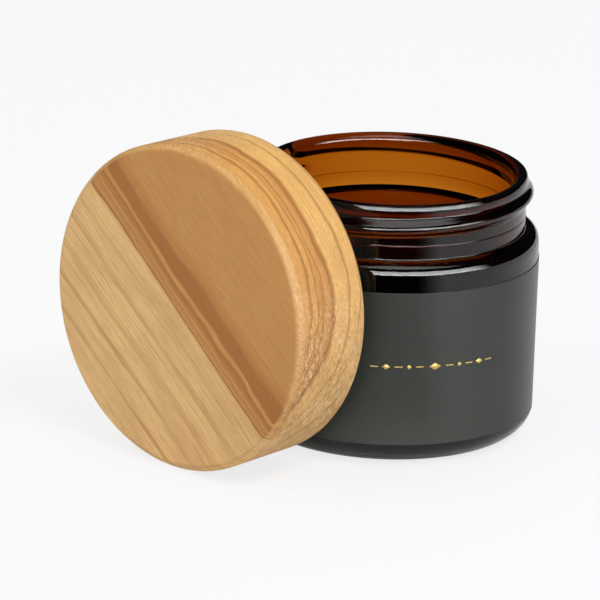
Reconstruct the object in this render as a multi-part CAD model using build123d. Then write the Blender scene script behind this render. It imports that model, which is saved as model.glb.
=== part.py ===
"""Open cosmetic cream jar: a moulded glass jar, and beside it the wooden screw lid standing on its edge.

Millimetres, +Z up, table at Z = 0. The origin is the centre of the footprint of jar and lid together.
The lid stands in front of the jar (towards -Y) with its top face turned away from the jar.
"""

import os
from math import atan, cos, degrees, radians, sin, sqrt

from build123d import *

# --- glass jar, heights from the table ---
JAR_HEIGHT = 49.4
BODY_R = 27.6
HEEL_OUT = 7.8  # how far the heel curve reaches in from the body wall
HEEL_UP = 4.4  # how far it reaches up the wall
SHOULDER_Z = 36.4  # where the straight wall ends
NECK_Z = 39.0  # where the shoulder meets the neck
NECK_R = 24.88
RIM_R = 25.08  # outer radius of the rounded rim
RIM_SWELL = 1.2  # height over which the neck swells into the rim
BORE_R = 22.6  # clear mouth
BORE_LOW_Z = 41.4  # lower end of the straight mouth
INNER_R = 24.0  # inside of the body
INNER_TOP_Z = 36.6  # where the inner shoulder ends
FLOOR_Z = 4.5  # glass floor
INNER_HEEL_R = 5.0
PUSH_UP_R = 17.8  # edge of the hollow under the base
PUSH_UP_SLOPE = 2.5  # width of its sloping edge
PUSH_UP_H = 1.3
CORNER_FLATS = 3  # flats that stand for a rounded corner
RIM_FLATS = 4  # and for the rounded rim

# --- screw thread, single start, right-handed ---
LEAD = 4.0  # rise per turn
BEAD_H = 1.27  # height of the glass bead off the neck
BEAD_HALF_W = 1.35  # at its root inside the wall
BEAD_TIP = 0.5  # half width of its crest
BEAD_Z0 = 45.65  # bead centre height at angle 0
BEAD_FROM, BEAD_TO = -189.0, 186.0  # angles that the bead runs through
BEAD_RUN_OUTS = (45.0, 15.0)  # angles over which its lower and its upper end die away
CAP_THREAD_R = 25.3  # crest of the internal thread
CAP_THREAD_HALF_W = 0.85
CAP_THREAD_TIP = 0.3
CAP_THREAD_DROP = 1.45  # how far it runs below the bead when the lid is closed
CAP_THREAD_FROM, CAP_THREAD_TO = -85.0, 260.0
CAP_RUN_OUTS = (30.0, 30.0)
RUN_OUT_SINK = 0.1  # how deep below its wall a thread ends
RUN_OUT_WIDTH = 0.35  # share of its width that is left there
THREAD_STEP = 15.0  # angle between the sections of a thread
THREAD_SPAN = 240.0  # longest stretch made in one piece
THREAD_ROOT = 0.4  # how deep a thread is rooted in its wall

# --- wrap label ---
LABEL_T = 0.12
LABEL_LOW_Z = 4.5
LABEL_TOP_Z = 33.65
LABEL_FRONT = -33.0  # direction that the middle of the label faces
LABEL_GAP = 0.8  # bare glass between the two ends
FILM_CLEARANCE = 0.01

# --- lid, heights from its open end ---
LID_R = 30.4  # at the bevel
LID_RIM_R = 30.2  # at the open end
LID_H = 18.25
LID_BEVEL = 1.2
LID_RIM_ROUND = 1.3
POCKET_R = 27.9
POCKET_DEPTH = 11.5
POCKET_EDGE = 0.4  # chamfer at the pocket's mouth
INSERT_R = 27.85
INSERT_BORE_R = 26.5
INSERT_LOW = 0.5  # the insert ends this far inside the wood
INSERT_TOP_T = 1.2
LINER_R = 26.2
LINER_T = 1.2

# --- where the lid stands, from the jar's axis ---
LID_SIDE = -8.8  # along X, to the lid's axis
LID_AHEAD = -31.25  # along Y, to the centre of the lid's open end


def ridge_section(angle, centre_z, radii, half_widths):
    """Tapered section of a helical ridge, in the half plane at an angle about the axis."""
    foot_r, crest_r = radii
    half_width, tip_half = half_widths
    direction = radians(angle)
    plane = Plane(
        origin=(0, 0, centre_z + LEAD * angle / 360),
        x_dir=(cos(direction), sin(direction), 0),
        z_dir=(sin(direction), -cos(direction), 0),
    )
    low = (foot_r, -half_width)
    high = (foot_r, half_width)
    return plane * make_face(Polyline(low, (crest_r, -tip_half), (crest_r, tip_half), high, close=True))


def thread(centre_z, angles, run_outs, radii, half_widths):
    """Spans of a helical ridge that rises out of its wall and sinks back over a run-out at each end."""
    start, end = angles
    wall_r, crest_r = radii
    half_width, tip_half = half_widths
    outward = 1 if crest_r > wall_r else -1
    foot_r = wall_r - THREAD_ROOT * outward
    count = round((end - start) / THREAD_STEP)
    stations = [start + (end - start) * i / count for i in range(count + 1)]
    per_span = round(THREAD_SPAN / THREAD_STEP)
    spans = []
    for first in range(0, count, per_span):
        sections = []
        for angle in stations[first : first + per_span + 1]:
            size = sqrt(max(0.0, min(1.0, (angle - start) / run_outs[0], (end - angle) / run_outs[1])))
            low_r = wall_r - RUN_OUT_SINK * outward
            height_r = low_r + (crest_r - low_r) * size
            width = RUN_OUT_WIDTH + (1 - RUN_OUT_WIDTH) * size
            widths = (half_width * width, tip_half * width)
            sections.append(ridge_section(angle, centre_z, (foot_r, height_r), widths))
        spans.append(loft(sections))
    return spans


def curve(centre, radii, start, end, steps):
    """Points along an elliptic arc, with both ends: a few flats stand for each rounded corner."""
    angles = [radians(start + (end - start) * i / steps) for i in range(steps + 1)]
    return [(centre[0] + radii[0] * cos(angle), centre[1] + radii[1] * sin(angle)) for angle in angles]


def jar_outline():
    """Half section of the glass: from the hollow under the base up the outside and down the inside."""
    rim_round = (RIM_R - BORE_R) / 2
    rim_z = JAR_HEIGHT - rim_round
    heel_foot = BODY_R - HEEL_OUT
    inner_foot = INNER_R - INNER_HEEL_R
    inner_heel_z = FLOOR_Z + INNER_HEEL_R
    points = [(0, PUSH_UP_H), (PUSH_UP_R - PUSH_UP_SLOPE, PUSH_UP_H), (PUSH_UP_R, 0)]
    points += curve((heel_foot, HEEL_UP), (HEEL_OUT, HEEL_UP), -90, 0, CORNER_FLATS)
    points += curve((NECK_R, SHOULDER_Z), (BODY_R - NECK_R, NECK_Z - SHOULDER_Z), 0, 90, CORNER_FLATS)
    points += [(NECK_R, rim_z - RIM_SWELL)]
    points += curve((RIM_R - rim_round, rim_z), (rim_round, rim_round), 0, 180, RIM_FLATS)
    points += [(BORE_R, BORE_LOW_Z), (INNER_R, INNER_TOP_Z)]
    points += curve((inner_foot, inner_heel_z), (INNER_HEEL_R, INNER_HEEL_R), 0, -90, CORNER_FLATS)
    points += [(0, FLOOR_Z)]
    return make_face(Polyline(*points, close=True))


def glass_jar():
    """The moulded jar with the bead of its screw thread."""
    body = revolve(Plane.XZ * jar_outline(), Axis.Z)
    radii = (NECK_R, NECK_R + BEAD_H)
    half_widths = (BEAD_HALF_W, BEAD_TIP)
    for span in thread(BEAD_Z0, (BEAD_FROM, BEAD_TO), BEAD_RUN_OUTS, radii, half_widths):
        body += span
    return body


def label():
    """A thin film wrapped round the straight wall, with a narrow gap at the back."""
    inner_r = BODY_R + FILM_CLEARANCE
    outer_r = inner_r + LABEL_T
    height = LABEL_TOP_Z - LABEL_LOW_Z
    ring = Cylinder(outer_r, height, align=(Align.CENTER, Align.CENTER, Align.MIN))
    ring -= Cylinder(inner_r, height, align=(Align.CENTER, Align.CENTER, Align.MIN))
    gap = Pos(-BODY_R, 0, height / 2) * Box(BODY_R, LABEL_GAP, height)
    return Pos(0, 0, LABEL_LOW_Z) * Rot(0, 0, LABEL_FRONT) * (ring - gap)


def lid_shell():
    """Turned wooden lid: a slightly tapered disc with a bevelled top edge and a pocket for the insert."""
    points = [(0, POCKET_DEPTH), (POCKET_R, POCKET_DEPTH)]
    points += [(POCKET_R, POCKET_EDGE), (POCKET_R + POCKET_EDGE, 0)]
    rim_centre = (LID_RIM_R - LID_RIM_ROUND, LID_RIM_ROUND)
    points += curve(rim_centre, (LID_RIM_ROUND, LID_RIM_ROUND), -90, 0, CORNER_FLATS)
    points += [(LID_R, LID_H - LID_BEVEL), (LID_R - LID_BEVEL, LID_H), (0, LID_H)]
    return revolve(Plane.XZ * make_face(Polyline(*points, close=True)), Axis.Z)


def thread_insert():
    """Moulded plastic cup glued into the pocket, with the internal screw thread."""
    height = POCKET_DEPTH - INSERT_LOW
    cup = Cylinder(INSERT_R, height, align=(Align.CENTER, Align.CENTER, Align.MIN))
    cup -= Cylinder(INSERT_BORE_R, height - INSERT_TOP_T, align=(Align.CENTER, Align.CENTER, Align.MIN))
    cup = Pos(0, 0, INSERT_LOW) * cup
    ridge_z = BEAD_Z0 - CAP_THREAD_DROP - closed_lid_z()
    angles = (CAP_THREAD_FROM, CAP_THREAD_TO)
    radii = (INSERT_BORE_R, CAP_THREAD_R)
    half_widths = (CAP_THREAD_HALF_W, CAP_THREAD_TIP)
    for span in thread(ridge_z, angles, CAP_RUN_OUTS, radii, half_widths):
        cup += span
    return cup


def liner():
    """Foam disc against the closed end of the insert."""
    z = POCKET_DEPTH - INSERT_TOP_T - LINER_T
    return Pos(0, 0, z) * Cylinder(LINER_R, LINER_T, align=(Align.CENTER, Align.CENTER, Align.MIN))


def closed_lid_z():
    """Height of the lid's open end above the table when the liner is screwed down on the rim."""
    return JAR_HEIGHT - (POCKET_DEPTH - INSERT_TOP_T - LINER_T)


def lid_lean():
    """Angle by which the lid's axis rises towards its top when it rests on its tapered side."""
    return degrees(atan((LID_R - LID_RIM_R) / (LID_H - LID_BEVEL)))


def lid_place():
    """From the lid's own frame, open end at Z = 0, to where it stands beside the jar."""
    height = LID_RIM_R * cos(radians(lid_lean()))
    return Pos(LID_SIDE, LID_AHEAD, height) * Rot(90 - lid_lean(), 0, 0)


def main():
    on_lid = lid_place()
    nodes = {
        "glass_jar": glass_jar(),
        "label": label(),
        "lid_shell": on_lid * lid_shell(),
        "thread_insert": on_lid * thread_insert(),
        "liner": on_lid * liner(),
    }
    boxes = [solid.bounding_box() for solid in nodes.values()]
    centre_x = (min(box.min.X for box in boxes) + max(box.max.X for box in boxes)) / 2
    centre_y = (min(box.min.Y for box in boxes) + max(box.max.Y for box in boxes)) / 2
    to_origin = Pos(-centre_x, -centre_y, 0)
    os.makedirs("parts", exist_ok=True)
    for name, solid in nodes.items():
        export_step(to_origin * solid, f"parts/{name}.step")
    print("jar axis at", to_origin.position, "lid lean", lid_lean())


main()
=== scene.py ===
"""Open amber glass cream jar with a wrap label, and its turned wooden screw lid on edge beside it."""

from math import atan, cos, pi, radians, sin

import bpy
import numpy as np
from mathutils import Matrix, Vector


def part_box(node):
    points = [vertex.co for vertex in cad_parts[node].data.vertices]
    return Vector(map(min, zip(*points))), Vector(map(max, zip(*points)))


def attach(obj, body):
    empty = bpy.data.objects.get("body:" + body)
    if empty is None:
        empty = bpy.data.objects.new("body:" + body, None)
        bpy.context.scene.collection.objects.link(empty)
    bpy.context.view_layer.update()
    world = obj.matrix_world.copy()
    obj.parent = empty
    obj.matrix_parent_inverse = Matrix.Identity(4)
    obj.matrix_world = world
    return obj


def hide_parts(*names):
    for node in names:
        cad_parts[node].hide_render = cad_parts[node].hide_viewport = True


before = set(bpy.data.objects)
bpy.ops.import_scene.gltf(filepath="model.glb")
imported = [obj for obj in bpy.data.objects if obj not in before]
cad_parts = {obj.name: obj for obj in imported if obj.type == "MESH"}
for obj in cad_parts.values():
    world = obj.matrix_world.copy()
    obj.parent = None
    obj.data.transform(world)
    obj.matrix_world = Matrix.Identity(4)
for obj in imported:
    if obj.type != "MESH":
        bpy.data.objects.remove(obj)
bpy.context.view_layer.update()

MM = 0.001
JAR_LOW, JAR_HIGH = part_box("glass_jar")
LABEL_LOW, LABEL_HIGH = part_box("label")
LID_LOW, LID_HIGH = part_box("lid_shell")
JAR_AXIS = Vector(((JAR_LOW.x + JAR_HIGH.x) / 2, (JAR_LOW.y + JAR_HIGH.y) / 2, 0))


# ---------------------------------------------------------------- camera

CAMERA_SIDE = 40.1  # degrees, anticlockwise from looking along +Y
CAMERA_UP = 17.58
CAMERA_AWAY = 1.088
CAMERA_AIM = 22.67 * MM  # height on the jar's axis that the distance is measured from
CAMERA_TURN = 0.917  # the jar stands right of the picture's middle
CAMERA_DIP = -0.017
CAMERA_ROLL = 2.02
CAMERA_LENS = 348.5


def make_camera():
    """Long lens from the photograph's side and height."""
    side, up = radians(CAMERA_SIDE), radians(CAMERA_UP)
    towards = Vector((sin(side) * cos(up), -cos(side) * cos(up), sin(up)))
    place = JAR_AXIS + Vector((0, 0, CAMERA_AIM)) + towards * CAMERA_AWAY
    turn = Matrix.Rotation(radians(CAMERA_SIDE + CAMERA_TURN), 4, "Z")
    tilt = Matrix.Rotation(radians(90 - CAMERA_UP - CAMERA_DIP), 4, "X")
    roll = Matrix.Rotation(radians(CAMERA_ROLL), 4, "Z")
    data = bpy.data.cameras.new("camera")
    data.lens = CAMERA_LENS
    data.sensor_width = 36
    data.clip_start = 0.01
    camera = bpy.data.objects.new("camera", data)
    camera.matrix_world = Matrix.Translation(place) @ turn @ tilt @ roll
    bpy.context.scene.collection.objects.link(camera)
    bpy.context.scene.camera = camera


# ---------------------------------------------------------------- node helpers

class Tree:
    """Short calls for building the nodes of a world or a material."""

    def __init__(self, owner):
        owner.use_nodes = True
        self.tree = owner.node_tree
        self.tree.nodes.clear()

    def node(self, kind, inputs=(), **settings):
        made = self.tree.nodes.new("ShaderNode" + kind)
        for key, value in settings.items():
            setattr(made, key, value)
        for key, value in dict(inputs).items():
            if isinstance(value, bpy.types.NodeSocket):
                self.tree.links.new(value, made.inputs[key])
            else:
                made.inputs[key].default_value = value
        return made

    def math(self, operation, a, b=0.0, c=0.0):
        return self.node("Math", {0: a, 1: b, 2: c}, operation=operation).outputs[0]

    def vector(self, operation, a, b=(0, 0, 0)):
        made = self.node("VectorMath", {0: a, 1: b}, operation=operation)
        return made.outputs["Value" if operation in ("LENGTH", "DOT_PRODUCT") else "Vector"]

    def noise(self, place, scale, detail=2.0, roughness=0.5):
        inputs = {"Vector": place, "Scale": scale, "Detail": detail, "Roughness": roughness}
        return self.node("TexNoise", inputs).outputs["Fac"]

    def range(self, value, from_min, from_max, to_min=0.0, to_max=1.0, kind="LINEAR"):
        inputs = {0: value, 1: from_min, 2: from_max, 3: to_min, 4: to_max}
        return self.node("MapRange", inputs, interpolation_type=kind).outputs[0]

    def mix(self, factor, a, b):
        made = self.node("Mix", data_type="RGBA")
        for socket, value in ((made.inputs[0], factor), (made.inputs[6], a), (made.inputs[7], b)):
            if isinstance(value, bpy.types.NodeSocket):
                self.tree.links.new(value, socket)
            else:
                socket.default_value = value
        return made.outputs[2]

    def ramp(self, value, stops):
        made = self.node("ValToRGB", {0: value})
        elements = made.color_ramp.elements
        elements[0].position, elements[0].color = stops[0][0], stops[0][1]
        elements[1].position, elements[1].color = stops[-1][0], stops[-1][1]
        for position, colour in stops[1:-1]:
            elements.new(position).color = colour
        return made.outputs[0]

    def bump(self, height, strength, distance):
        inputs = {"Height": height, "Strength": strength, "Distance": distance}
        return self.node("Bump", inputs).outputs[0]

    def product(self, first, *others):
        for other in others:
            first = self.math("MULTIPLY", first, other)
        return first

    def choose(self, factor, low, high):
        """The shader low where the factor is 0, and high where it is 1."""
        return self.node("MixShader", {0: factor, 1: low, 2: high}).outputs[0]


class Surface(Tree):
    """A material and its nodes."""

    def __init__(self, name):
        self.material = bpy.data.materials.new(name)
        super().__init__(self.material)
        self.output = self.tree.nodes.new("ShaderNodeOutputMaterial")

    def finish(self, shader):
        self.tree.links.new(shader, self.output.inputs["Surface"])
        return self.material


def rgb(red, green, blue):
    """A colour written as it shows on a screen, 0 to 255, as the linear one that nodes take."""
    def linear(value):
        share = value / 255
        return ((share + 0.055) / 1.055) ** 2.4 if value > 10.3 else share / 12.92

    return linear(red), linear(green), linear(blue), 1.0


# ---------------------------------------------------------------- meshes

def new_mesh(name, points, faces, material, body):
    data = bpy.data.meshes.new(name)
    data.from_pydata([tuple(p) for p in points], [], [tuple(f) for f in faces])
    data.validate()
    data.shade_smooth()
    data.materials.append(material)
    piece = bpy.data.objects.new(name, data)
    bpy.context.scene.collection.objects.link(piece)
    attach(piece, body)
    return piece


def spin(profile, steps, lift=None):
    """Points and faces of a profile of (radius, height) turned about Z. Ends on the axis get a fan."""
    profile = np.array(profile, float)
    first_pole = profile[0, 0] < 1e-9
    last_pole = profile[-1, 0] < 1e-9
    rings = profile[1 if first_pole else 0 : -1 if last_pole else None]
    angles = np.arange(steps) * 2 * pi / steps
    radius = np.repeat(rings[:, 0][:, None], steps, 1)
    height = np.repeat(rings[:, 1][:, None], steps, 1)
    if lift is not None:
        radius = radius + lift(np.broadcast_to(angles, radius.shape), radius, height)
    points = np.stack([radius * np.cos(angles), radius * np.sin(angles), height], -1).reshape(-1, 3)
    ring_count = len(rings)
    faces = []
    closed = not first_pole and not last_pole
    for i in range(ring_count if closed else ring_count - 1):
        j = (i + 1) % ring_count
        for k in range(steps):
            m = (k + 1) % steps
            faces.append((i * steps + k, i * steps + m, j * steps + m, j * steps + k))
    points = list(map(tuple, points))
    if first_pole:
        points.append((0.0, 0.0, profile[0, 1]))
        pole = len(points) - 1
        faces += [(pole, (k + 1) % steps, k) for k in range(steps)]
    if last_pole:
        points.append((0.0, 0.0, profile[-1, 1]))
        pole = len(points) - 1
        base = (ring_count - 1) * steps
        faces += [(base + k, base + (k + 1) % steps, pole) for k in range(steps)]
    return points, faces


def arc(centre, radii, start, end, count, fullness=2.0):
    """Points on an ellipse between two angles in degrees. A fullness below 2 flattens it to a chamfer."""
    angles = np.radians(np.linspace(start, end, count))
    x = np.cos(angles)
    z = np.sin(angles)
    x = np.sign(x) * np.abs(x) ** (2 / fullness)
    z = np.sign(z) * np.abs(z) ** (2 / fullness)
    return list(zip(centre[0] + radii[0] * x, centre[1] + radii[1] * z))


def straight(start, end, count):
    return [tuple(p) for p in np.linspace(start, end, count)]


def flow(start, end, count):
    """S-curve from start to end that leaves and arrives upright."""
    t = np.linspace(0, 1, count)
    blend = t * t * (3 - 2 * t)
    across = start[0] + (end[0] - start[0]) * blend
    along = start[1] + (end[1] - start[1]) * t
    return list(zip(across, along))


def tidy(points):
    """Drops points that repeat the one before."""
    kept = [points[0]]
    for p in points[1:]:
        if abs(p[0] - kept[-1][0]) + abs(p[1] - kept[-1][1]) > 1e-7:
            kept.append(p)
    return kept


# ---------------------------------------------------------------- glass jar

BODY_R = (JAR_HIGH.x - JAR_LOW.x) / 2
JAR_H = JAR_HIGH.z
HEEL = (5.5 * MM, 4.4 * MM)  # how far it reaches in from the wall, and up it
HEEL_FULLNESS, SHOULDER_FULLNESS = 1.75, 2.7
BEARING_EDGE = 0.1 * MM  # flat that parts the heel's curve from the ring that the jar stands on
SHOULDER_Z = 35.9 * MM
NECK_Z = 39.0 * MM
NECK_R = 24.88 * MM
NECK_FOOT = 0.3 * MM  # radius of the fillet where the neck stands on the shoulder
RIM_R = 25.08 * MM
RIM_SWELL = 1.2 * MM
RIM_CROWN_R = 2.5 * MM  # gentle curve of the rim's outside, up to its corner
RIM_CROWN_TO = 25  # degrees that this curve turns
BORE_R = 22.6 * MM
BORE_LOW_Z = 41.4 * MM
INNER_R = 24.0 * MM
INNER_TOP_Z = 36.6 * MM
INNER_STEP, INNER_STEP_Z = 1.1 * MM, 39.0 * MM  # the inner shoulder, under a slight flare
FLOOR_Z = 4.5 * MM
INNER_HEEL_R = 5.0 * MM
PUSH_UP_R = 17.8 * MM
PUSH_UP_H = 1.3 * MM
THREAD_LEAD = 4.0 * MM
BEAD_Z0 = 45.65 * MM
BEAD_H = 1.27 * MM
BEAD_HALF = 2.0 * MM
BEAD_FROM, BEAD_TO = radians(-189), radians(186)
BEAD_FADE, BEAD_STOP = radians(45), radians(9)  # how gently its lower end dies away, and its upper one
PARTING_Z = 41.7 * MM  # the line where the neck ring of the mould meets the body mould
PARTING_H = 0.08 * MM
PARTING_HALF = 0.14 * MM


def moulding(angle, radius, height):
    """Height of the thread bead and of the mould's parting line above the outside of the neck."""
    rim = (RIM_R - BORE_R) / 2
    lift = np.zeros_like(height)
    for turn in (-1, 0, 1):
        a = angle + turn * 2 * pi
        size = np.sqrt(np.clip(np.minimum((a - BEAD_FROM) / BEAD_FADE, (BEAD_TO - a) / BEAD_STOP), 0, 1))
        centre = BEAD_Z0 + THREAD_LEAD * a / (2 * pi)
        across = np.abs(height - centre) / (BEAD_HALF * (0.4 + 0.6 * size))
        lift = np.maximum(lift, BEAD_H * size * np.clip(1 - across ** 2, 0, 1) ** 2)
    lift += PARTING_H * np.clip(1 - np.abs(height - PARTING_Z) / PARTING_HALF, 0, 1)
    outside = np.clip((radius - (RIM_R - rim)) / (0.8 * rim), 0, 1)  # fades out over the rounded rim
    return np.where(height > NECK_Z, lift * outside, 0)


def jar_profile():
    rim = (RIM_R - BORE_R) / 2
    rim_z = JAR_H - rim
    inner_foot = INNER_R - INNER_HEEL_R
    hollow = np.linspace(0, 1, 24)
    points = [(PUSH_UP_R * share, PUSH_UP_H * (1 - share ** 4)) for share in hollow]
    points += [(BODY_R - HEEL[0] - BEARING_EDGE, 0)]
    points += arc((BODY_R - HEEL[0], HEEL[1]), HEEL, -90, 0, 24, HEEL_FULLNESS)
    points += straight((BODY_R, HEEL[1]), (BODY_R, SHOULDER_Z), 24)
    shoulder = (BODY_R - NECK_R, NECK_Z - SHOULDER_Z)
    points += arc((NECK_R, SHOULDER_Z), shoulder, 0, 84, 30, SHOULDER_FULLNESS)
    points += arc((NECK_R + NECK_FOOT, NECK_Z + NECK_FOOT), (NECK_FOOT, NECK_FOOT), 250, 180, 8)
    points += straight((NECK_R, NECK_Z + NECK_FOOT + 0.05 * MM), (NECK_R, PARTING_Z - PARTING_HALF), 24)
    points += straight((NECK_R, PARTING_Z - PARTING_HALF), (NECK_R, PARTING_Z + PARTING_HALF), 9)
    points += straight((NECK_R, PARTING_Z + PARTING_HALF), (NECK_R, rim_z - RIM_SWELL), 64)
    points += flow((NECK_R, rim_z - RIM_SWELL), (RIM_R, rim_z), 12)
    points += arc((RIM_R - RIM_CROWN_R, rim_z), (RIM_CROWN_R, RIM_CROWN_R), 0, RIM_CROWN_TO, 14)
    corner = (JAR_H - points[-1][1]) / (1 - sin(radians(RIM_CROWN_TO)))
    middle = (points[-1][0] - corner * cos(radians(RIM_CROWN_TO)), JAR_H - corner)
    points += arc(middle, (corner, corner), RIM_CROWN_TO, 90, 10)
    points += arc((BORE_R + rim, rim_z), (rim, rim), 90, 180, 20)
    points += straight((BORE_R, rim_z), (BORE_R, BORE_LOW_Z), 20)
    points += straight((BORE_R, BORE_LOW_Z), (INNER_R - INNER_STEP, INNER_STEP_Z), 10)
    points += flow((INNER_R - INNER_STEP, INNER_STEP_Z), (INNER_R, INNER_TOP_Z), 18)
    points += straight((INNER_R, INNER_TOP_Z), (INNER_R, FLOOR_Z + INNER_HEEL_R), 20)
    points += arc((inner_foot, FLOOR_Z + INNER_HEEL_R), (INNER_HEEL_R, INNER_HEEL_R), 0, -90, 18)
    points += straight((inner_foot, FLOOR_Z), (0, FLOOR_Z), 12)
    points[0] = (0, PUSH_UP_H)
    points[-1] = (0, FLOOR_Z)
    return tidy(points)


AMBER_PASSES = (0.731, 0.526, 0.03, 1)  # absorbs blue wholly, and green more than red
AMBER_DENSITY = 2700.0  # per metre


def glass_material():
    t = Surface("amber_glass")
    place = t.node("TexCoord").outputs["Object"]
    waves = t.noise(place, 90, detail=2)
    fine = t.noise(place, 700, detail=1)
    normal = t.bump(waves, 0.25, 0.25 * MM)
    rough = t.range(fine, 0.3, 0.7, 0.012, 0.035)
    shader = t.node("BsdfPrincipled", {
        "Base Color": (1, 1, 1, 1),
        "Transmission Weight": 1.0,
        "IOR": 1.52,
        "Roughness": rough,
        "Normal": normal,
    })
    absorb = t.node("VolumeAbsorption", {"Color": AMBER_PASSES, "Density": AMBER_DENSITY})
    t.tree.links.new(absorb.outputs[0], t.output.inputs["Volume"])
    return t.finish(shader.outputs[0])


def make_jar():
    points, faces = spin(jar_profile(), 288, moulding)
    points = [Vector(p) + JAR_AXIS for p in points]
    piece = new_mesh("jar_glass_body", points, faces, glass_material(), "jar")
    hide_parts("glass_jar")


# ---------------------------------------------------------------- label

def label_material():
    t = Surface("label_film")
    place = t.node("TexCoord").outputs["Object"]
    weave = t.noise(place, 2600, detail=2)
    cloud = t.noise(place, 45, detail=3)
    base = t.mix(t.range(cloud, 0.35, 0.65), rgb(33, 37, 31), rgb(40, 44, 38))
    rough = t.range(weave, 0.3, 0.7, 0.30, 0.38)
    shader = t.node("BsdfPrincipled", {
        "Base Color": base,
        "Roughness": rough,
        "Normal": t.bump(weave, 0.12, 0.03 * MM),
    })
    return t.finish(shader.outputs[0])


def gold_material():
    t = Surface("gold_foil")
    place = t.node("TexCoord").outputs["Object"]
    grain = t.noise(place, 3000, detail=2)
    base = t.mix(t.range(grain, 0.3, 0.7), rgb(222, 184, 98), rgb(240, 208, 124))
    shader = t.node("BsdfPrincipled", {
        "Base Color": base,
        "Metallic": 0.35,
        "Roughness": t.range(grain, 0.3, 0.7, 0.35, 0.5),
        "Normal": t.bump(grain, 0.2, 0.01 * MM),
    })
    return t.finish(shader.outputs[0])


ORNAMENT_Z = 19.6 * MM
ORNAMENT_TURN = radians(-31)
ORNAMENT_THICK = 0.04 * MM
ORNAMENT_SINK = 0.01 * MM  # how deep it sits in the label
BAR = (0.75 * MM, 0.09 * MM)  # half its width and half its height


def ornament():
    """A small gold border motif: lozenges and bars in a mirrored row, printed on the label."""
    radius = (LABEL_HIGH.x - LABEL_LOW.x) / 2
    points, faces = [], []

    def shape(outline, centre):
        """One flat shape, wrapped on the label and given a thickness."""
        start = len(points)
        for depth in (0.0, ORNAMENT_THICK):
            for x, z in outline:
                angle = ORNAMENT_TURN + (centre + x) / radius
                r = radius + depth - ORNAMENT_SINK
                points.append(JAR_AXIS + Vector((r * cos(angle), r * sin(angle), ORNAMENT_Z + z)))
        count = len(outline)
        faces.append(tuple(start + i for i in reversed(range(count))))
        faces.append(tuple(start + count + i for i in range(count)))
        for i in range(count):
            j = (i + 1) % count
            faces.append((start + i, start + j, start + count + j, start + count + i))

    def lozenge(centre, half_w, half_h):
        shape([(half_w, 0), (0, half_h), (-half_w, 0), (0, -half_h)], centre)

    def bar(centre):
        """Four short pieces, so that the bar follows the curve of the label."""
        half_w, half_h = BAR
        for part in range(4):
            left = -half_w + part * half_w / 2
            right = left + half_w / 2
            shape([(left, -half_h), (right, -half_h), (right, half_h), (left, half_h)], centre)

    lozenge(0, 1.15 * MM, 0.70 * MM)
    for side in (-1, 1):
        bar(side * 2.9 * MM)
        lozenge(side * 4.9 * MM, 0.45 * MM, 0.45 * MM)
        bar(side * 6.9 * MM)
        lozenge(side * 9.2 * MM, 0.80 * MM, 0.55 * MM)
        bar(side * 11.4 * MM)
    new_mesh("label_ornament", points, faces, gold_material(), "jar")


# ---------------------------------------------------------------- lid

LID_R = 30.4 * MM
LID_RIM_R = 30.2 * MM
LID_H = 18.25 * MM
LID_BEVEL = 1.2 * MM
LID_SOFT = 0.3 * MM  # how far the bevel's two edges are rounded
LID_RIM_ROUND = 1.3 * MM
POCKET_R = 27.9 * MM
POCKET_DEPTH = 11.5 * MM
POCKET_EDGE = 0.4 * MM
LID_LEAN = atan((LID_R - LID_RIM_R) / (LID_H - LID_BEVEL))
LID_BACK = (LID_RIM_R - LID_RIM_ROUND) * sin(LID_LEAN)  # the leaning rim's top reaches past its centre
LID_OPEN = Vector(((LID_LOW.x + LID_HIGH.x) / 2, LID_HIGH.y - LID_BACK, LID_RIM_R * cos(LID_LEAN)))
TO_LID = Matrix.Translation(LID_OPEN) @ Matrix.Rotation(pi / 2 - LID_LEAN, 4, "X")
FACE_CENTRE = TO_LID @ Vector((0, 0, LID_H))

GRAIN_TILT = radians(41)  # the fibres run down to the right across the face
PITH_ACROSS = 30.0  # mm from the face's centre to the heart of the rings, across the fibres
PITH_AHEAD = 22.0  # mm, in front of the face
RING_LOW, RING_HIGH = 20.0, 66.0  # mm, radii that the ring colours cover
TAN, HONEY, BROWN = (207, 150, 83), (213, 155, 87), (190, 128, 64)  # heartwood
RED, RED_LINE = (166, 102, 42), (150, 94, 41)  # the dark band across the face
PALE, FAINT, GREY = (246, 204, 140), (228, 180, 117), (214, 165, 107)  # sapwood and its growth lines
AMBER, UMBER = (231, 171, 93), (166, 105, 48)  # layers deeper in the lid
BRIGHT, LINE = (246, 196, 118), (181, 125, 65)
FACE_RINGS = (  # ring radius in mm and colour, from the heart at the upper right outwards
    (20.0, TAN), (29.0, TAN), (30.6, BROWN), (31.2, RED), (33.1, RED), (33.5, HONEY), (33.9, HONEY),
    (34.1, RED), (35.0, BROWN), (35.4, HONEY), (35.8, BROWN), (36.5, HONEY), (36.9, RED_LINE),
    (37.3, PALE), (39.9, PALE), (40.9, FAINT), (41.4, PALE), (43.8, PALE), (44.7, GREY), (45.0, PALE),
    (47.9, PALE), (49.0, FAINT), (49.6, PALE), (52.0, PALE), (52.9, GREY), (53.3, PALE), (56.2, PALE),
    (57.1, GREY), (57.4, PALE),
)
SIDE_RINGS = (  # the layers deeper in the lid, which the turned side cuts across
    (20.0, AMBER), (25.4, AMBER), (26.2, UMBER), (26.5, AMBER), (27.4, AMBER), (27.8, UMBER),
    (28.0, AMBER), (29.0, BROWN), (29.3, AMBER), (30.4, TAN), (30.8, UMBER), (31.4, BROWN),
    (31.9, BRIGHT), (35.4, BRIGHT), (35.9, LINE), (36.2, BRIGHT), (38.6, BRIGHT), (38.9, LINE),
    (39.3, BRIGHT), (42.5, BRIGHT), (42.9, LINE), (43.6, BRIGHT), (47.0, AMBER), (47.4, LINE),
    (48.2, BRIGHT), (54.0, AMBER), (66.0, BRIGHT),
)
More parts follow.
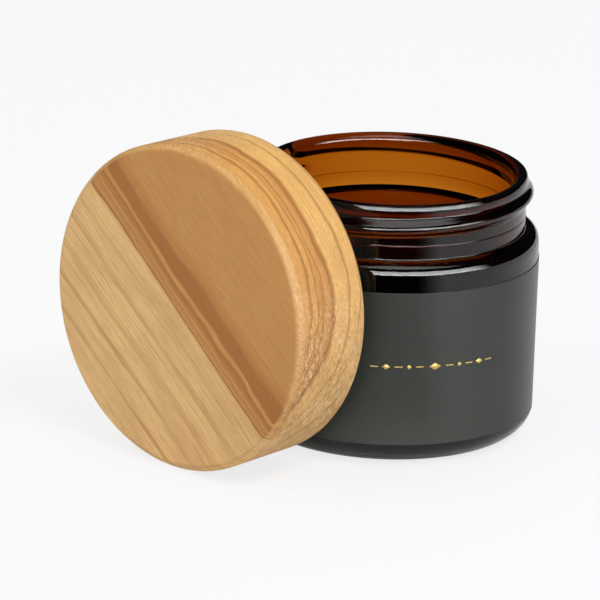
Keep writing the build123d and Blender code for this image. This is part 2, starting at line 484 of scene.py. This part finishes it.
GROWTH_PITCH, FINE_PITCH = 2.15, 0.62  # mm between lines of late wood, and between the finest ones


def wood_frame():
    """Directions along the fibres, across them on the lid's face, and out of the face."""
    out = (TO_LID.to_3x3() @ Vector((0, 0, 1))).normalized()
    fibre = Vector((cos(GRAIN_TILT), 0, -sin(GRAIN_TILT)))
    fibre = (fibre - out * fibre.dot(out)).normalized()
    return fibre, out.cross(fibre), out


def wood_material():
    """Solid wood, its rings about a heart outside the lid, so face, side and end grain belong together."""
    t = Surface("olive_wood")
    fibre, across, out = wood_frame()
    coordinates = t.node("TexCoord").outputs
    block = t.node("Mapping", {
        "Vector": coordinates["Object"],
        "Location": FACE_CENTRE,
        "Rotation": Matrix((fibre, across, out)).transposed().to_euler(),
        "Scale": (MM, MM, MM),
    }, vector_type="TEXTURE").outputs[0]
    split = t.node("SeparateXYZ", {0: block}).outputs
    w, n = split[1], split[2]

    def scaled(along, width, depth):
        return t.vector("MULTIPLY", block, (along, width, depth))

    def stretched(along):
        return scaled(along, 1.0, 1.0)

    # distance from the heart of the rings, with a waviness that calms down in the sapwood
    radius = t.vector("LENGTH", t.node("CombineXYZ", {
        0: 0.0, 1: t.math("SUBTRACT", w, PITH_ACROSS), 2: t.math("SUBTRACT", n, PITH_AHEAD),
    }).outputs[0])
    calm = t.range(radius, 34.0, 38.0, 1.0, 0.5)
    broad = t.noise(stretched(0.22), 0.06, detail=1)
    sway = t.noise(stretched(0.3), 0.2, detail=2)
    ripple = t.noise(stretched(0.22), 0.9, detail=3)
    radius = t.math("ADD", radius, t.range(broad, 0.0, 1.0, -1.5, 1.5))
    radius = t.math("MULTIPLY_ADD", t.range(sway, 0.0, 1.0, -1.1, 1.1), calm, radius)
    radius = t.math("MULTIPLY_ADD", t.range(ripple, 0.0, 1.0, -0.45, 0.45), calm, radius)

    def layers(rings):
        stops = [((mm - RING_LOW) / (RING_HIGH - RING_LOW), rgb(*colour)) for mm, colour in rings]
        return t.ramp(t.range(radius, RING_LOW, RING_HIGH), stops)

    deep = t.range(n, -1.0, -1.7)
    tone = t.mix(deep, layers(FACE_RINGS), layers(SIDE_RINGS))
    faded = t.range(t.noise(stretched(0.3), 0.14, detail=3), 0.42, 0.62, 0.0, 0.6)
    tone = t.mix(t.product(faded, t.range(radius, 37.4, 37.9)), tone, rgb(237, 195, 134))
    # thin lines of late wood, sharp on their outer side
    year = t.math("FRACT", t.math("DIVIDE", radius, GROWTH_PITCH))
    late = t.product(t.range(year, 0.3, 0.5, kind="SMOOTHSTEP"), t.range(year, 0.53, 0.5))
    patchy = t.range(t.noise(stretched(0.15), 0.35, detail=2), 0.4, 0.6)
    outer = t.range(radius, 37.0, 39.0, 0.12, 0.4)
    tone = t.mix(t.product(late, outer, patchy), tone, rgb(172, 124, 74))
    fine_year = t.math("FRACT", t.math("DIVIDE", radius, FINE_PITCH))
    fine_line = t.product(t.range(fine_year, 0.2, 0.5), t.range(fine_year, 0.75, 0.5))
    tone = t.mix(t.product(fine_line, t.range(radius, 26.0, 31.0, 0.08, 0.2)), tone, rgb(140, 88, 42))
    # streaks and pores along the fibres, then soft patches
    streak = t.noise(stretched(0.04), 2.2, detail=4, roughness=0.7)
    tone = t.mix(t.range(streak, 0.35, 0.65, 0.0, 0.26), tone, rgb(164, 108, 54))
    pores = t.range(t.noise(stretched(0.05), 6.0, detail=2, roughness=0.6), 0.58, 0.68)
    tone = t.mix(t.product(pores, 0.32), tone, rgb(132, 84, 44))
    patch = t.noise(stretched(0.4), 0.16, detail=3, roughness=0.6)
    tone = t.mix(t.range(patch, 0.42, 0.62, 0.0, 0.2), tone, rgb(176, 116, 58))
    mottle = t.noise(block, 2.4, detail=4, roughness=0.7)
    tone = t.mix(t.range(mottle, 0.35, 0.7, 0.0, 0.14), tone, rgb(230, 178, 104))
    # cut fibres show where the side runs across the grain: pale and dark flecks
    end_grain = t.math("ABSOLUTE", t.vector("DOT_PRODUCT", coordinates["Normal"], tuple(fibre)))
    end_grain = t.product(t.range(end_grain, 0.45, 0.85), deep)
    fleck = t.noise(scaled(0.5, 0.24, 1.0), 2.6, detail=5, roughness=0.8)
    clusters = t.range(t.noise(scaled(0.4, 0.3, 1.0), 0.35, detail=2), 0.38, 0.6, 0.25, 1.0)
    pale_flecks = t.product(t.range(fleck, 0.5, 0.6), end_grain, clusters)
    dark_flecks = t.product(t.range(fleck, 0.48, 0.4), end_grain)
    tone = t.mix(t.product(pale_flecks, 0.75), tone, rgb(252, 226, 188))
    tone = t.mix(t.product(dark_flecks, 0.45), tone, rgb(148, 94, 50))
    # painted highlight: the bevelled edge is painted pale all round, patchy along the streaks
    painted_edge_highlight = t.product(t.range(n, -0.1, -0.5), t.range(n, -1.5, -0.9))
    tone = t.mix(t.product(painted_edge_highlight, t.range(streak, 0.35, 0.6, 0.6, 0.2)), tone, rgb(248, 204, 138))
    height = t.math("SUBTRACT", t.product(streak, 0.5), pores)
    height = t.math("ADD", height, t.product(fleck, end_grain, 3.0))
    shader = t.node("BsdfPrincipled", {
        "Base Color": tone,
        "Roughness": t.range(streak, 0.3, 0.7, 0.50, 0.64),
        "Normal": t.bump(height, 0.45, 0.07 * MM),
        "Specular IOR Level": 0.28,
    })
    return t.finish(shader.outputs[0])


def bend(start, corner, end, count=7):
    """Rounded corner: a quadratic curve that leaves and arrives along the two sides."""
    start, corner, end = np.array(start), np.array(corner), np.array(end)
    steps = np.linspace(0, 1, count)
    return [tuple((1 - t) ** 2 * start + 2 * t * (1 - t) * corner + t * t * end) for t in steps]


def lid_profile():
    face_edge = LID_R - LID_BEVEL
    side_edge = LID_H - LID_BEVEL
    slant = LID_SOFT * 0.7
    points = [(0, LID_H)]
    points += straight((0, LID_H), (face_edge - 0.5 * MM, LID_H), 24)
    points += bend((face_edge - LID_SOFT, LID_H), (face_edge, LID_H), (face_edge + slant, LID_H - slant))
    points += bend((LID_R - slant, side_edge + slant), (LID_R, side_edge), (LID_R, side_edge - LID_SOFT))
    points += straight((LID_R, side_edge - LID_SOFT), (LID_RIM_R, LID_RIM_ROUND), 26)
    points += arc((LID_RIM_R - LID_RIM_ROUND, LID_RIM_ROUND), (LID_RIM_ROUND, LID_RIM_ROUND), 0, -90, 12)
    points += [(POCKET_R + POCKET_EDGE, 0), (POCKET_R, POCKET_EDGE)]
    points += straight((POCKET_R, POCKET_EDGE), (POCKET_R, POCKET_DEPTH), 12)
    points += straight((POCKET_R, POCKET_DEPTH), (0, POCKET_DEPTH), 10)
    return tidy(points)


def make_lid():
    points, faces = spin(lid_profile(), 256)
    points = [TO_LID @ Vector(p) for p in points]
    faces = [tuple(reversed(f)) for f in faces]
    piece = new_mesh("lid_wood", points, faces, wood_material(), "lid")
    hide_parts("lid_shell")


def plastic_material(name, colour, shade, rough):
    t = Surface(name)
    place = t.node("TexCoord").outputs["Object"]
    grain = t.noise(place, 1500, detail=3)
    cloud = t.noise(place, 60, detail=2)
    base = t.mix(t.range(cloud, 0.35, 0.65), colour, shade)
    shader = t.node("BsdfPrincipled", {
        "Base Color": base,
        "Roughness": t.range(grain, 0.3, 0.7, rough - 0.06, rough + 0.06),
        "Subsurface Weight": 0.05,
        "Subsurface Radius": (0.4 * MM, 0.4 * MM, 0.4 * MM),
        "Normal": t.bump(grain, 0.15, 0.02 * MM),
    })
    return t.finish(shader.outputs[0])


def dress(node, material):
    """Gives a CAD node that keeps its own shape its material."""
    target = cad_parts[node]
    target.data.materials.clear()
    target.data.materials.append(material)


# ---------------------------------------------------------------- studio

FLAG_SIDE = -58  # degrees from +X that the black floor card lies towards
FLAG_FADE = (26, 50)  # degrees from its middle over which it fades out
FLAG_REACH = (0.05, 1.2)  # metres from the jar's axis
BACKLIGHT = 2.2  # how bright the white sweep looks through the glass: it is lit from behind, past white
FLOOR_HALF = 3.0  # metres
FLOOR_GAP = 0.1 * MM  # keeps the floor off the jar's base
BOX_AWAY, BOX_MIDDLE_Z = 1.3, 0.03  # metres: radius of the curved soft boxes, and their centre's height
WHITE = (1, 1, 1, 1)


def studio():
    """White sweep, dark above for what the gloss mirrors, and a floor that keeps the object's shadow."""
    scene = bpy.context.scene
    scene.view_settings.view_transform = "Standard"
    scene.world = bpy.data.worlds.new("studio")
    w = Tree(scene.world)
    path = w.node("LightPath").outputs
    height = w.node("SeparateXYZ", {0: w.node("TexCoord").outputs["Generated"]}).outputs[2]
    ceiling = w.range(height, sin(radians(6)), sin(radians(14)), kind="SMOOTHSTEP")
    skyline = w.range(height, 0, sin(radians(2)), kind="SMOOTHSTEP")

    def glow(colour, strength):
        return w.node("Background", {"Color": colour, "Strength": strength}).outputs[0]

    fill = glow((0.93, 0.96, 1.0, 1), 0.42)
    white = glow(WHITE, 1.0)
    dark = glow((0.8, 0.9, 1, 1), 0.015)
    bright = glow(WHITE, BACKLIGHT)
    light = w.choose(path["Is Glossy Ray"], fill, w.choose(skyline, white, dark))
    light = w.choose(path["Is Transmission Ray"], light, w.choose(ceiling, bright, dark))
    light = w.choose(path["Is Camera Ray"], light, white)
    w.node("OutputWorld", {0: light})

    t = Surface("floor_white")
    place = t.node("TexCoord").outputs["Object"]
    speck = t.noise(place, 30, detail=3)
    grey = t.mix(speck, (0.80, 0.80, 0.80, 1), (0.82, 0.82, 0.82, 1))
    diffuse = t.node("BsdfDiffuse", {"Color": grey}).outputs[0]
    shining = t.node("Emission", {"Color": WHITE, "Strength": 1.0}).outputs[0]
    lit_behind = t.node("Emission", {"Color": WHITE, "Strength": BACKLIGHT}).outputs[0]
    path = t.node("LightPath").outputs
    share = t.math("MULTIPLY_ADD", path["Is Camera Ray"], 0.8, t.product(path["Is Glossy Ray"], 0.2))
    seen = t.choose(share, diffuse, shining)
    t.finish(t.choose(path["Is Transmission Ray"], seen, lit_behind))
    data = bpy.data.meshes.new("floor")
    corners = ((-1, -1), (1, -1), (1, 1), (-1, 1))
    data.from_pydata([(x * FLOOR_HALF, y * FLOOR_HALF, 0) for x, y in corners], [], [(0, 1, 2, 3)])
    data.materials.append(t.material)
    floor = bpy.data.objects.new("floor", data)
    floor.location.z = -FLOOR_GAP
    scene.collection.objects.link(floor)


def gloss_only(name, points, faces, material):
    """Stage piece that the gloss mirrors and nothing else sees: a soft box or a black flag."""
    data = bpy.data.meshes.new(name)
    data.from_pydata([tuple(p) for p in points], [], faces)
    data.materials.append(material)
    piece = bpy.data.objects.new(name, data)
    piece.visible_camera = False
    piece.visible_diffuse = False
    piece.visible_transmission = False
    piece.visible_shadow = False
    bpy.context.scene.collection.objects.link(piece)


def soft_box(name, sides, ups, strength):
    """Curved glowing card round the jar, fading to its sides, which are in degrees from +X at the jar."""
    t = Surface(name)
    offset = t.vector("SUBTRACT", t.node("TexCoord").outputs["Object"], JAR_AXIS)
    flat = t.vector("NORMALIZE", t.vector("MULTIPLY", offset, (1, 1, 0)))
    centre, half = radians((sides[0] + sides[1]) / 2), (sides[1] - sides[0]) / 2
    facing = t.vector("DOT_PRODUCT", flat, (cos(centre), sin(centre), 0))
    glow = t.range(facing, cos(radians(half)), cos(radians(half * 0.6)), 0.0, strength, kind="SMOOTHSTEP")
    t.finish(t.node("Emission", {"Color": WHITE, "Strength": glow}).outputs[0])
    middle = JAR_AXIS + Vector((0, 0, BOX_MIDDLE_Z))
    points = []
    columns, rows = 24, 8
    for up in np.radians(np.linspace(*ups, rows)):
        for side in np.radians(np.linspace(*sides, columns)):
            points.append(middle + BOX_AWAY * Vector((cos(side) * cos(up), sin(side) * cos(up), sin(up))))
    faces = []
    for i in range(rows - 1):
        for k in range(columns - 1):
            low = i * columns + k
            faces.append((low, low + 1, low + columns + 1, low + columns))
    gloss_only(name, points, faces, t.material)


def floor_flag():
    """Black card on the floor towards the camera, fading out at its two sides."""
    t = Surface("front_flag")
    offset = t.vector("SUBTRACT", t.node("TexCoord").outputs["Object"], JAR_AXIS)
    middle = radians(FLAG_SIDE)
    facing = t.vector("DOT_PRODUCT", t.vector("NORMALIZE", offset), (cos(middle), sin(middle), 0))
    cover = t.range(facing, cos(radians(FLAG_FADE[1])), cos(radians(FLAG_FADE[0])), kind="SMOOTHSTEP")
    black = t.node("Emission", {"Color": (0.5, 0.6, 0.7, 1), "Strength": 0.01}).outputs[0]
    t.finish(t.choose(cover, t.node("BsdfTransparent").outputs[0], black))
    steps = 48
    points = []
    for r in FLAG_REACH:
        for side in np.radians(np.linspace(FLAG_SIDE - 60, FLAG_SIDE + 60, steps)):
            points.append(JAR_AXIS + Vector((r * cos(side), r * sin(side), 0.2 * MM)))
    faces = [(i, i + 1, steps + i + 1, steps + i) for i in range(steps - 1)]
    gloss_only("front_flag", points, faces, t.material)


def lamp(name, side, up, away, size, power, colour=(1, 1, 1), aim=(0, 0, 0.03)):
    """Lamp that the gloss does not mirror. Side is in degrees from +X, up is its elevation."""
    data = bpy.data.lights.new(name, "AREA")
    data.shape = "RECTANGLE"
    data.size, data.size_y = size
    data.energy = power
    data.color = colour
    box = bpy.data.objects.new(name, data)
    box.visible_glossy = False
    a, e = radians(side), radians(up)
    box.location = Vector(aim) + away * Vector((cos(a) * cos(e), sin(a) * cos(e), sin(e)))
    box.rotation_euler = (box.location - Vector(aim)).to_track_quat("Z", "Y").to_euler()
    bpy.context.scene.collection.objects.link(box)
    return box


# ---------------------------------------------------------------- build

make_camera()
studio()
lamp("key", -15, 50, 1.0, (0.6, 0.16), 5.4, (1.0, 0.98, 0.95))
soft_box("front_box_edge", (-96, 34), (2, 6), 17.0)
soft_box("front_box", (-96, 34), (6, 26), 9.0)
soft_box("top_box", (-96, 34), (50, 88), 2.0)
floor_flag()
lamp("fill", -110, 45, 1.1, (0.6, 0.12), 2.5)
lamp("back", 110, 40, 1.1, (0.8, 0.3), 2.0)
make_jar()
INSERT = plastic_material("insert_pp", rgb(232, 231, 226), rgb(224, 223, 217), 0.38)
LINER = plastic_material("liner_foam", rgb(240, 239, 235), rgb(230, 229, 224), 0.7)
dress("label", label_material())
ornament()
make_lid()
dress("thread_insert", INSERT)
dress("liner", LINER)
